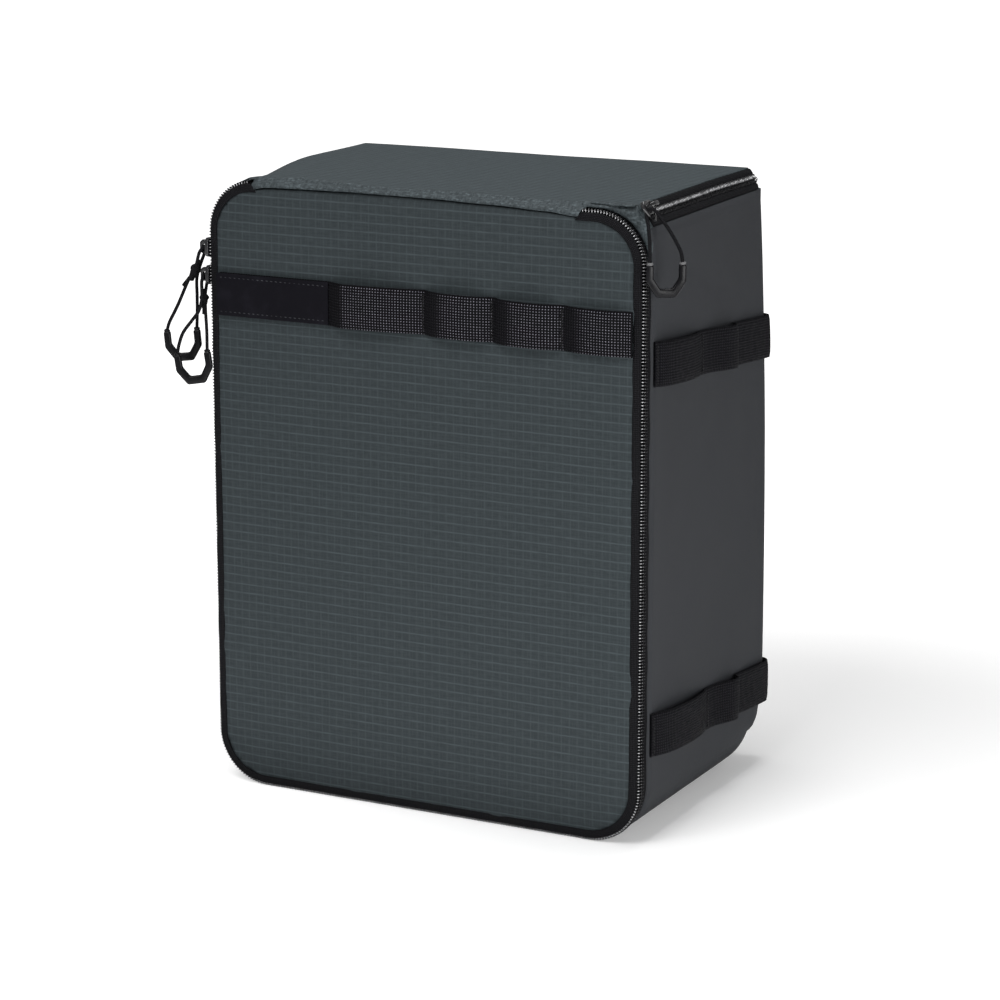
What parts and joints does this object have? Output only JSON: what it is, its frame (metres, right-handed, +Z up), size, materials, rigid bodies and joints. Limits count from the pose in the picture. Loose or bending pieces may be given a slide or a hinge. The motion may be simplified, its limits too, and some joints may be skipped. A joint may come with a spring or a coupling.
{
  "type": "camera bag insert",
  "caption": "Padded camera bag insert: an upright foam box with a zip-open front panel and lid, webbing loops, corded zip pulls, shelves and dividers",
  "frame": {"origin": "the middle of the base, on the surface the insert stands on", "axes": "X to the right as seen from the front, Y towards the back, Z up; the zipped front faces -Y"},
  "size_m": [0.3323, 0.1997, 0.3628],
  "materials": {
    "ripstop": "dark slate ripstop cloth",
    "side_cloth": "plain coated dark grey cloth",
    "foam": "closed-cell foam, cut faces",
    "lining_cloth": "brushed loop cloth",
    "zip_tape": "woven black tape",
    "zip_coil": "shiny black nylon",
    "webbing": "ribbed woven webbing",
    "patch": "matt black, bare",
    "black_metal": "glossy black",
    "grip_plastic": "matt black moulding",
    "cord": "braided black cord",
    "mesh": "fine black mesh"
  },
  "bodies": {
    "case": {"outer_shell": "side_cloth", "lining": "lining_cloth", "foam_base": "foam", "foam_left": "foam", "foam_right": "foam", "foam_back": "foam", "corner_gusset_left": "ripstop", "corner_gusset_right": "ripstop", "hinge_band": "ripstop", "front_zip_tape_case": "zip_tape", "front_zip_coil_case": "zip_coil", "top_zip_tape_case": "zip_tape", "top_zip_coil_case": "zip_coil", "upper_strap_left": "webbing", "upper_strap_right": "webbing", "lower_strap_left": "webbing", "lower_strap_right": "webbing", "shelf_lower": "lining_cloth", "shelf_upper": "lining_cloth"},
    "front_panel": {"front_panel_cover": "ripstop", "front_panel_foam": "foam", "front_panel_lining": "lining_cloth", "mesh_pocket": "mesh", "front_zip_tape_panel": "zip_tape", "front_zip_coil_panel": "zip_coil", "front_webbing": "webbing", "name_patch": "patch"},
    "top_lid": {"lid_cover": "ripstop", "lid_foam": "foam", "lid_lining": "lining_cloth", "top_zip_tape_lid": "zip_tape", "top_zip_coil_lid": "zip_coil"},
    "front_slider_upper": {"front_slider_upper": "black_metal"},
    "front_slider_lower": {"front_slider_lower": "black_metal"},
    "top_slider": {"top_slider": "black_metal"},
    "front_pull_upper": {"front_pull_grip_upper": "grip_plastic", "front_pull_cord_upper": "cord"},
    "front_pull_lower": {"front_pull_grip_lower": "grip_plastic", "front_pull_cord_lower": "cord"},
    "top_pull": {"top_pull_grip": "grip_plastic", "top_pull_cord": "cord", "top_pull_bail": "black_metal"},
    "divider_lower": {"divider_lower": "lining_cloth"},
    "divider_middle": {"divider_middle": "lining_cloth"},
    "divider_upper": {"divider_upper": "lining_cloth"}
  },
  "joints": [
    {"name": "front_panel_hinge", "type": "hinge", "parent": "case", "child": "front_panel", "pos_m": [0, -0.0925, 0.3556], "axis": [-1, 0, 0], "range_deg": [0, 160]},
    {"name": "top_lid_hinge", "type": "hinge", "parent": "case", "child": "top_lid", "pos_m": [0, -0.0846, 0.36], "axis": [1, 0, 0], "range_deg": [0, 105]},
    {"name": "front_slider_upper_slide", "type": "slide", "parent": "case", "child": "front_slider_upper", "axis": [0, 0, 1], "range_m": [0, 0.01]},
    {"name": "front_slider_lower_slide", "type": "slide", "parent": "case", "child": "front_slider_lower", "axis": [0, 0, 1], "range_m": [-0.24, 0]},
    {"name": "top_slider_slide", "type": "slide", "parent": "case", "child": "top_slider", "axis": [-0.0305, 0.9995, 0], "range_m": [0, 0.12]},
    {"name": "front_pull_upper_hinge", "type": "hinge", "parent": "front_slider_upper", "child": "front_pull_upper", "pos_m": [-0.1417, -0.08835, 0.319], "axis": [0, 1, 0], "range_deg": [0, 110]},
    {"name": "front_pull_lower_hinge", "type": "hinge", "parent": "front_slider_lower", "child": "front_pull_lower", "pos_m": [-0.1417, -0.08835, 0.303], "axis": [0, 1, 0], "range_deg": [0, 60]},
    {"name": "top_pull_hinge", "type": "hinge", "parent": "top_slider", "child": "top_pull", "pos_m": [0.13524, -0.078, 0.35989], "axis": [-0.4999, -0.4226, 0.756], "range_deg": [0, 110]},
    {"name": "divider_lower_slide", "type": "slide", "parent": "case", "child": "divider_lower", "axis": [1, 0, 0], "range_m": [-0.08, 0.08]},
    {"name": "divider_middle_slide", "type": "slide", "parent": "case", "child": "divider_middle", "axis": [1, 0, 0], "range_m": [-0.08, 0.08]},
    {"name": "divider_upper_slide", "type": "slide", "parent": "case", "child": "divider_upper", "axis": [1, 0, 0], "range_m": [-0.08, 0.08]}
  ]
}
